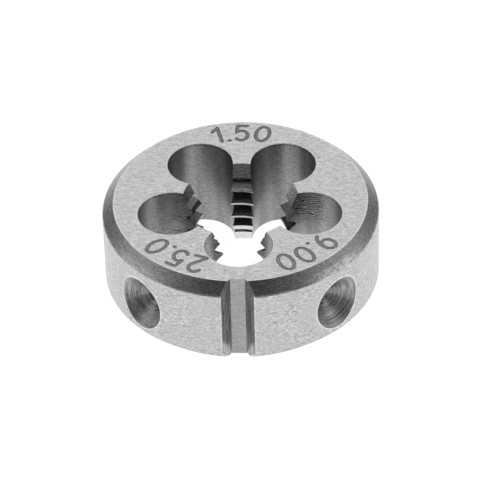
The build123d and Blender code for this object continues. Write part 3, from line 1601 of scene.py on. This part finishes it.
@dataclass(frozen=True)
class DrilledFinish(Finish):
    """A drilled wall, with soft bands down it, painted light at its foot beside the bore, and painted
    shade beside the bore higher up.

    Two of the holes have chatter marks beside the bore. Distances from the wall's back, which is
    the side away from the bore, are in turns.

    Attributes:
        step: The height of one chatter wave, in millimetres.
        stray: How far the waves stray up and down, in radians of a wave.
        drift: Their strays in a millimetre, along u and along v.
        gather: The patches that they gather in.
        chatter: How far the waves shift the grey in which hole, as a share of it.
        wave_rise: From where to where, away from the back, the waves set in.
        wave_fall: From where to where they fade.
        wave_rest: What is left of them beyond, as a share.
        bright: The hole whose walls are brighter.
        spots: How much brighter they are from patch to patch, as a share.
        foot: The height below which the walls have painted light, in millimetres.
        foot_gain: How much brighter they are at the lower face, as a share.
        foot_side: From where to where, away from the back, the foot brightens.
        shade: How much darker the upper walls are right beside the bore, as a share.
        shade_span: From which height to which they darken, in millimetres.
        shade_side: From where to where, away from the back, they darken.
        lip: The height above which the walls darken, in millimetres.
        lip_fade: How far above that they are darkest.
        lip_shade: How much darker they are there, as a share.
        painted_lights: The places with painted light.
        bands: The soft bands down the walls.
        turn_length: How far u runs in one hole, in millimetres.
    """

    step: float = 0.24
    stray: float = 20.0
    drift: tuple[float, float] = (1.5, 1.3)
    gather: Mottle = Mottle((1.4, 2.0), (0.4, 0.62), (0.15, 1.0), 2.0, 0.5)
    chatter: tuple[tuple[int, float], ...] = ((1, 1.5), (4, 0.55))
    wave_rise: tuple[float, float] = (0.18, 0.27)
    wave_fall: tuple[float, float] = (0.34, 0.38)
    wave_rest: float = 0.25
    bright: int = 0
    spots: Mottle = Mottle((2.6, 3.4), (0.35, 0.65), (0.1, 1.0))
    foot: float = 1.8
    foot_gain: float = 0.7
    foot_side: tuple[float, float] = (0.2, 0.32)
    shade: float = 0.5
    shade_span: tuple[float, float] = (3.5, 6.0)
    shade_side: tuple[float, float] = (0.27, 0.36)
    lip: float = 8.72
    lip_fade: float = 0.12
    lip_shade: float = 0.4
    painted_lights: tuple[PaintedLight, ...] = (
        PaintedLight(4, (0.24, 0.6), (5.9, 9.6), 0.24, 0.3),
        PaintedLight(4, (0.27, 0.36), (4.4, 6.4), 0.5),
        PaintedLight(4, (0.31, 0.6), (4.6, 8.4), 0.3),
        PaintedLight(1, (0.29, 0.6), (-1.0, 6.9), 0.6, 0.75),
        PaintedLight(1, (0.18, 0.6), (-1.0, 6.1), 0.22, 0.85),
    )
    bands: Grain = Grain((1.1, 0.05), 0.14, detail=1.0)
    turn_length: float = 2 * pi * 3.0

    def waves(self, laid: Signal) -> Signal:
        """Draws level waves that waver and gather in patches: sin(2 pi v / step + stray * noise).

        Args:
            laid: The UV map.

        Returns:
            The waves, from -1 to 1.
        """
        drift = laid.stretched(self.drift).noise(4.0, 0.6)
        phase = laid.parts()[1] * (2 * pi / self.step) + drift * self.stray
        return phase.math("SINE") * self.gather.draw(laid)

    def shift(self, sketch: SteelSketch) -> Signal:
        """Adds bands, chatter, the brighter walls of one hole, painted light and painted shade to the
        marks.

        Args:
            sketch: The material.

        Returns:
            The shift of the grey as a share of it.
        """
        laid = sketch.unrolled()
        along, height, _ = laid.parts()
        turns = along / self.turn_length
        hole = turns.math("FLOOR")
        from_back = abs(turns.math("FRACT") - 0.5)

        chatter: Signal | float = 0.0
        for number, strength in self.chatter:
            chatter = hole.math("COMPARE", float(number)) * strength + chatter
        inside = from_back.span(*self.wave_rise, 0.0, 1.0, smooth=True)
        inside = inside * from_back.span(*self.wave_fall, 1.0, self.wave_rest)
        waves = self.waves(laid) * (chatter * inside)
        stripes = self.bands.share(self.bands.marks(sketch))

        # Painted light at the foot of the walls beside the bore.
        foot = height.span(0.0, self.foot, self.foot_gain, 0.0)
        near_bore = from_back.span(*self.foot_side, 0.0, 1.0, smooth=True)
        walls = hole.math("COMPARE", float(self.bright)) * self.spots.draw(laid)
        brighter = walls + foot * near_bore

        # Painted shade beside the bore higher up, and under the lip.
        beside = from_back.span(*self.shade_side, 0.0, 1.0, smooth=True)
        lips = height.span(self.lip, self.lip + self.lip_fade, 0.0, -self.lip_shade)
        dark = beside * height.span(*self.shade_span, 0.0, -self.shade) + lips

        # Painted light on the walls in the listed places, with less chatter there.
        for light_place in self.painted_lights:
            here = hole.math("COMPARE", float(light_place.hole))
            here = faded(here, from_back, light_place.back, light_place.back_fade, smooth=True)
            here = faded(here, height, light_place.height, light_place.height_fade, smooth=True)
            brighter = brighter + here * light_place.gain
            waves = waves * here.span(0.0, 1.0, 1.0, 1.0 - light_place.still)
        return brighter + (waves + stripes + dark) + super().shift(sketch)


@dataclass(frozen=True)
class ToneBox:
    """A box on the lands whose grey is painted brighter or darker. Most boxes on the flanks and lead-ins
    are painted light and shade.

    Attributes:
        low: The least x, y and z of the place, in metres.
        high: The greatest x, y and z of the place, in metres.
        gain: How much brighter it is, as a share. A negative number darkens it.
        fade: Over what distance it fades in at its sides, in metres.
    """

    low: tuple[float, float, float]
    high: tuple[float, float, float]
    gain: float
    fade: float = 0.1 * MM


@dataclass(frozen=True)
class LandFinish(Finish):
    """Steel on the lands, with boxes whose grey is painted brighter or darker.

    Attributes:
        tone_boxes: The boxes.
        calm_below: The height below which the marks are faint.
        calm: How strong they still are there, as a share.
        calm_fade: How far above that height they are at full strength.
        matt_from: The x beyond which the surface is rubbed matt.
        matt_fade: How far before that x it begins to be.
        rubbed: The roughness there.
    """

    tone_boxes: tuple[ToneBox, ...] = ()
    calm_below: float = -inf
    calm: float = 0.25
    calm_fade: float = 0.4 * MM
    matt_from: float = inf
    matt_fade: float = 0.01 * MM
    rubbed: float = 0.9

    def shift(self, sketch: SteelSketch) -> Signal:
        """Adds up the painted boxes, and gives the marks the same share of each box's grey.

        Args:
            sketch: The material.

        Returns:
            The shift of the grey as a share of it.
        """
        level: Signal | float = 1.0
        place = sketch.place().parts()
        # Each box paints the grey brighter or darker; on the flanks and lead-ins most are painted light
        # and shade.
        for painted_patch in self.tone_boxes:
            here: Signal | float = painted_patch.gain
            for value, low, high in zip(place, painted_patch.low, painted_patch.high):
                here = faded(here, value, (low, high), painted_patch.fade)
            level = here + level
        marks = super().shift(sketch)
        if isfinite(self.calm_below):
            calm_end = self.calm_below + self.calm_fade
            marks = marks * place[2].span(self.calm_below, calm_end, self.calm, 1.0)
        return (marks + 1.0) * level - 1.0

    def matt(self, sketch: SteelSketch) -> Signal | float:
        """Makes the surface rougher beyond a given x, if there is one.

        Args:
            sketch: The material.

        Returns:
            The roughness.
        """
        if not isfinite(self.matt_from):
            return self.roughness
        x = sketch.place().parts()[0]
        return x.span(self.matt_from - self.matt_fade, self.matt_from, self.roughness, self.rubbed)


@dataclass(frozen=True)
class CrestFinish(Finish):
    """Crest and root of the thread, with a painted highlight along the crest's middle and painted shade
    on the rest.

    Attributes:
        pitch: From one crest to the next, in millimetres.
        middle: How far above the crest's middle its brightest line lies, in millimetres.
        half: Half the width of the bright stretch, in millimetres.
        whole: How far from its line it is brightest, as a share of that.
        dark: How much darker the rest is, as a share.
    """

    pitch: float = 1.5
    middle: float = -0.025
    half: float = 0.11
    whole: float = 0.5
    dark: float = 0.92

    def shift(self, sketch: SteelSketch) -> Signal:
        """Paints shade on all but the highlight stretch, by the distance from its line.

        Args:
            sketch: The material.

        Returns:
            The shift of the grey as a share of it.
        """
        height = sketch.unrolled().parts()[1] - self.middle
        off = abs((height / self.pitch).math("FRACT") - 0.5)
        half = self.half / self.pitch
        # Painted shade everywhere but the highlight stretch along each crest.
        return super().shift(sketch) + off.span(self.whole * half, half, 0.0, -self.dark, smooth=True)


@dataclass(frozen=True)
class SeatFinish(Finish):
    """A turned hollow, with painted light brightening its upper half.

    Attributes:
        low: The height from which it brightens.
        high: The height at which it is brightest.
        gain: How much brighter it is there, as a share.
    """

    low: float = 3.8 * MM
    high: float = 5.6 * MM
    gain: float = 0.7

    def shift(self, sketch: SteelSketch) -> Signal:
        """Paints light on the upper half, by height."""
        height = sketch.place().parts()[2]
        # Painted light on the seat's upper half.
        return super().shift(sketch) + height.span(self.low, self.high, 0.0, self.gain)


@dataclass(frozen=True)
class EngravedFinish(Finish):
    """An engraved groove, with painted shade up its sides and a lighter bottom.

    Attributes:
        face: The height of the face that is engraved.
        deep: The depth of the groove.
        bottom: How much brighter its bottom is, as a share.
        dark: How much darker its upper edges are, as a share.
        far_dark: How much darker the marks away from the slot are, as a share.
        far: The y at which they are darkest.
    """

    face: float = 9.0 * MM
    deep: float = 0.06 * MM
    bottom: float = 0.2
    dark: float = 0.35
    far_dark: float = 0.16
    far: float = 6.0 * MM

    def shift(self, sketch: SteelSketch) -> Signal:
        """Paints shade on the sides by height, and darkens the marks away from the slot by their y.

        Args:
            sketch: The material.

        Returns:
            The shift of the grey as a share of it.
        """
        _, y, height = sketch.place().parts()
        # Painted shade up the groove's sides, lighter at its bottom.
        sides = height.span(self.face - self.deep, self.face, self.bottom, -self.dark)
        return super().shift(sketch) + (sides + y.span(0.0, self.far, 0.0, -self.far_dark))


def finishes(holes: ChipHoles, seats: ScrewSeats) -> dict[Zone, Finish]:
    """Lists the finish of each zone.

    Args:
        holes: The chip holes, whose mouths the ground faces follow.
        seats: The screw seats, whose mouths the rim and the chamfer follow.

    Returns:
        One finish for each zone.
    """
    ripple = Grain((1.5, 4.8), 0.19, radians(4.0), 0.6, 0.65)
    fine = Grain((4.5, 8.0), 0.17, radians(-3.0))
    speck = Grain((6.0, 7.5), 0.28, 0.0, 0.3, 0.7)
    patch = Grain((0.45, 0.45), 0.035)
    dash = Grain((2.0, 5.2), 0.22, 0.0, 0.5, 0.7, 0.6)
    mottle = Grain((1.6, 2.6), 0.1, 0.0, 0.5, 0.7)
    return {
        Zone.GROUND: GroundFinish(0.63, 0.4, (ripple, fine, patch), 0.0008 * MM, holes=holes),
        Zone.RIM: RimFinish(0.53, 0.34, (dash, fine, patch), 0.0008 * MM, seats=seats),
        Zone.CHAMFER: ChamferFinish(
            0.27, 0.26, (mottle, Grain((3.0, 6.0), 0.3, 0.0, 0.3, 0.8), speck), 0.035 * MM, seats=seats,
        ),
        # The chip holes' grey is partly painted shade, for the shadow inside the holes.
        Zone.CHIP_HOLE: DrilledFinish(
            0.3, 0.36, (Grain((1.6, 6.0), 0.17, 0.0, 0.4, 0.65), speck), 0.004 * MM,
        ),
        Zone.THREAD: CrestFinish(0.5, 0.2, (Grain((0.8, 9.0), 0.15), speck), 0.001 * MM),
        # The flanks' dark grey is painted shade between the teeth. Their boxes paint light on the left
        # lands and shade low on the right lands, and give the far land a lighter band.
        Zone.FLANK: LandFinish(
            0.09, 0.32, (Grain((0.8, 9.0), 0.3), speck), 0.001 * MM,
            tone_boxes=(
                ToneBox((-inf, -1.5 * MM, 5.8 * MM), (-3.0 * MM, inf, inf), 0.6),
                ToneBox((-inf, -1.5 * MM, -inf), (-3.0 * MM, inf, 5.8 * MM), 0.4),
                ToneBox((3.0 * MM, -1.5 * MM, -inf), (inf, inf, 5.8 * MM), -0.65),
                ToneBox((-inf, 3.0 * MM, 6.7 * MM), (inf, inf, 7.3 * MM), 1.3, 0.3 * MM),
            ),
        ),
        # The lead-ins' boxes paint light on the lower lead-in and on the left lands, and make the right
        # and far lands brighter.
        Zone.LEAD_IN: LandFinish(
            0.26, 0.3, (Grain((3.5, 4.5), 0.5, 0.0, 0.5, 0.75), speck), 0.01 * MM,
            tone_boxes=(
                ToneBox((-inf, -inf, -inf), (inf, inf, 4.5 * MM), 1.7),
                ToneBox((-inf, -1.5 * MM, 7.4 * MM), (-3.0 * MM, inf, inf), 1.0),
                ToneBox((3.0 * MM, 0.4 * MM, 4.5 * MM), (inf, inf, inf), 2.2, 2.2 * MM),
                ToneBox((-inf, 3.0 * MM, 4.5 * MM), (inf, inf, 7.3 * MM), 1.6, 0.5 * MM),
            ),
            calm_below=4.1 * MM,
            matt_from=3.0 * MM,
        ),
        # The slot's sides are painted brighter towards the bottom.
        Zone.SLOT_FLANK: LandFinish(
            0.35, 0.24, (Grain((7.0, 0.3), 0.5, 0.0, 0.0, 0.7), speck), 0.005 * MM,
            tone_boxes=(ToneBox((-inf, -inf, -inf), (inf, inf, 0.6 * MM), 0.35),),
            calm_below=0.45 * MM,
        ),
        Zone.SLOT_FLOOR: Finish(0.375, 0.4, (Grain((1.2, 5.0), 0.12), fine, patch), 0.001 * MM),
        Zone.SEAT: SeatFinish(
            0.27, 0.38, (Grain((0.4, 6.5), 0.65, 0.0, 0.1, 0.75), speck), 0.018 * MM, 0.8,
        ),
        Zone.MARK: EngravedFinish(0.26, 0.5, (Grain((5.0, 5.0), 0.25), speck)),
        # The edges are painted darker high at the front and brighter low at the front.
        Zone.EDGE: LandFinish(
            0.6, 0.3, (Grain((2.5, 5.0), 0.35, 0.0, 0.3, 0.7),),
            tone_boxes=(
                ToneBox((-inf, -inf, 7.9 * MM), (inf, -11.0 * MM, 8.93 * MM), -0.4, 0.05 * MM),
                ToneBox((-inf, -inf, -inf), (inf, -11.0 * MM, 0.7 * MM), 0.6),
            ),
        ),
    }


@dataclass
class Studio:
    """A pale table, soft light from all round, and the camera.

    The light is given by direction: x to the right, y away from the camera and z up, each from
    -1 to 1.

    Attributes:
        table_radius: The radius of the table's round sheet.
        table_sides: How many corners it has.
        table_drop: How far below the die it lies.
        paper: Its grey, where it lights the die.
        glow: How bright it is, where the camera or a mirror sees it.
        glow_share: How far the glow then takes the paper's place.
        front: The light from the front, as heights and levels.
        back: The light from the back, as heights and levels.
        turnover: From which y to which the light from the front turns into that from the back.
        lamp_side: From which x to which, to both sides, two white lamps set in.
        lamp_top: From which z to which they fade.
        lamp_back: From which y to which they fade.
        elevation: How far the camera looks down, in radians.
        azimuth: How far the camera is turned about Z from looking along +Y, in radians.
        roll: How far the camera is turned about its own axis, in radians.
        distance: From the camera to the point that it looks at.
        target: The point that the camera looks at.
        focal_pixels: The focal length in pixels of the picture.
        picture: The picture's width in pixels.
    """

    table_radius: float = 70.0 * MM
    table_sides: int = 128
    table_drop: float = 0.002 * MM
    paper: float = 0.8
    glow: float = 1.28
    glow_share: float = 0.75
    front: tuple[tuple[float, float], ...] = (
        (-0.05, 0.32), (0.15, 0.3), (0.4, 0.36), (0.6, 0.3),
        (0.73, 0.09), (0.84, 0.08), (0.94, 0.38), (1.0, 0.45),
    )
    back: tuple[tuple[float, float], ...] = (
        (-0.05, 0.38), (0.15, 0.38), (0.3, 0.58), (0.42, 0.85),
        (0.53, 1.0), (0.74, 1.0), (0.9, 0.55), (1.0, 0.45),
    )
    turnover: tuple[float, float] = (-0.62, 0.08)
    lamp_side: tuple[float, float] = (0.8, 0.96)
    lamp_top: tuple[float, float] = (0.3, 0.55)
    lamp_back: tuple[float, float] = (0.2, 0.6)
    elevation: float = radians(39.21)
    azimuth: float = radians(-2.4)
    roll: float = radians(-1.675)
    distance: float = 295.71 * MM
    target: tuple[float, float, float] = (-0.125 * MM, -0.295 * MM, 4.5 * MM)
    focal_pixels: float = 3253.24
    picture: float = 480.0

    def camera(self) -> bpy.types.Object:
        """Sets the camera where the photograph was taken from.

        Returns:
            The camera object.
        """
        level_reach = cos(self.elevation)
        forward = Vector(
            (sin(self.azimuth) * level_reach, cos(self.azimuth) * level_reach, -sin(self.elevation))
        )
        right = Vector((cos(self.azimuth), -sin(self.azimuth), 0.0))
        up = right.cross(forward)
        level = right * cos(self.roll) + up * sin(self.roll)
        upright = up * cos(self.roll) - right * sin(self.roll)
        data = bpy.data.cameras.new("camera")
        data.sensor_fit = "HORIZONTAL"
        data.lens = self.focal_pixels / self.picture * data.sensor_width
        data.clip_start = 10.0 * MM
        made = bpy.data.objects.new("camera", data)
        place = Vector(self.target) - forward * self.distance
        turn = Matrix((level, upright, -forward)).transposed().to_4x4()
        made.matrix_world = Matrix.Translation(place) @ turn
        bpy.context.scene.collection.objects.link(made)
        bpy.context.scene.camera = made
        return made

    def table(self) -> bpy.types.Object:
        """Lays a white round sheet under the die.

        Returns:
            The sheet.
        """
        turn = 2 * pi * np.arange(self.table_sides) / self.table_sides
        ring = self.table_radius * np.stack([np.cos(turn), np.sin(turn), 0 * turn], axis=1)
        mesh = bpy.data.meshes.new("table")
        mesh.from_pydata(ring, [], [list(range(self.table_sides))])
        made = bpy.data.objects.new("table", mesh)
        made.location.z = -self.table_drop
        bpy.context.scene.collection.objects.link(made)
        material = bpy.data.materials.new("white_sheet")
        sketch = Sketch(material)
        camera, glossy, through = (
            sketch.add("LightPath", output=f"Is {ray} Ray")
            for ray in ("Camera", "Glossy", "Transmission")
        )
        mirrored = camera.math("MAXIMUM", glossy).math("MAXIMUM", through)
        paper = sketch.add("BsdfDiffuse", {"Color": (self.paper, self.paper, self.paper, 1.0)})
        glow = sketch.add("Emission", {"Strength": self.glow})
        mixed = sketch.add("MixShader", {0: mirrored * self.glow_share, 1: paper, 2: glow})
        sketch.node("OutputMaterial", {0: mixed})
        mesh.materials.append(material)
        return made

    def light(self) -> None:
        """Lights the die from a soft surround, and shows the camera a white one."""
        world = bpy.data.worlds.new("studio")
        bpy.context.scene.world = world
        sketch = Sketch(world)
        x, y, z = sketch.add("TexCoord", output="Generated").parts()
        behind = y.span(*self.turnover, 0.0, 1.0, smooth=True)
        soft = sketch.mix(behind, sketch.ramp(z, self.front), sketch.ramp(z, self.back))
        lamps = abs(x).span(*self.lamp_side, 0.0, 1.0, smooth=True)
        lamps = lamps * z.span(*self.lamp_top, 1.0, 0.0, smooth=True)
        lamps = lamps * y.span(*self.lamp_back, 1.0, 0.0, smooth=True)
        white = (1.0, 1.0, 1.0, 1.0)
        surround = sketch.add("Background", {"Color": sketch.mix(lamps, soft, white)})
        shown = sketch.add("Background", {"Color": white})
        seen = sketch.add("LightPath", output="Is Camera Ray")
        sketch.node("OutputWorld", {0: sketch.add("MixShader", {0: seen, 1: surround, 2: shown})})


def main() -> None:
    """Builds the die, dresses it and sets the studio."""
    logging.basicConfig(level=logging.INFO, format="%(name)s: %(message)s")
    die = ThreadingDie()
    piece = die.build()
    for zone, finish in finishes(die.holes, die.seats).items():
        finish.draw(piece.data.materials[zone.value])
    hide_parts(NODE)
    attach(piece, BODY)
    log.info("%s: %d faces, %d corners", piece.name, len(piece.data.polygons), len(piece.data.loops))
    studio = Studio()
    studio.table()
    studio.light()
    studio.camera()
    bpy.context.scene.view_settings.view_transform = "Standard"


if __name__ == "__main__":
    main()
